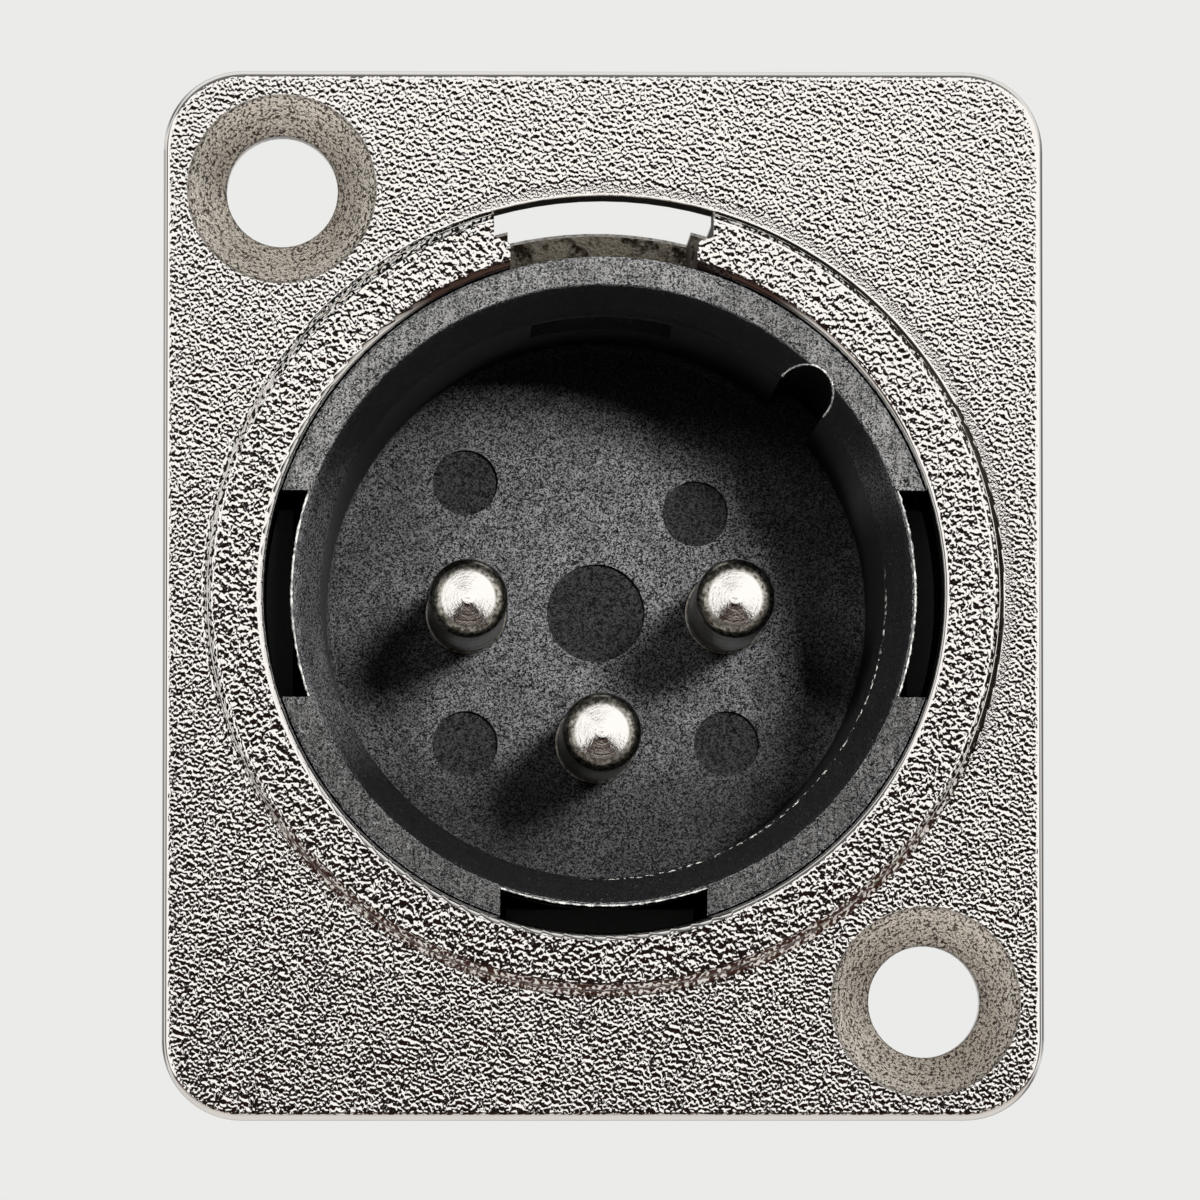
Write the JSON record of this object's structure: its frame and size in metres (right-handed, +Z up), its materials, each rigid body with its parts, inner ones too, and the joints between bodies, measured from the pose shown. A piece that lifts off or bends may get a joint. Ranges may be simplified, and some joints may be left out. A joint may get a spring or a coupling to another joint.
{
  "type": "panel mount xlr connector",
  "caption": "Male audio receptacle for a panel: rectangular nickel-plated flange with a raised collar, black socket insert with contact pins, solder cups behind.",
  "frame": {"origin": "on the bore's axis, in the flange's rear face, which lies against the panel", "axes": "front faces -Y and the solder cups point to +Y; +Z up, with the latch notch at the top; +X to the right seen from the front"},
  "size_m": [0.026, 0.0251, 0.031],
  "materials": {
    "shell_nickel": "bright nickel plate on a textured zinc casting",
    "insert_plastic": "black glass-filled plastic, fine grain",
    "contact_silver": "turned brass, silver-plated",
    "strip_tin": "stamped spring bronze, tin-plated"
  },
  "bodies": {
    "root": {"shell": "shell_nickel", "insert": "insert_plastic", "contact_1": "contact_silver", "contact_2": "contact_silver", "contact_3": "contact_silver", "ground_strip": "strip_tin"}
  },
  "joints": []
}
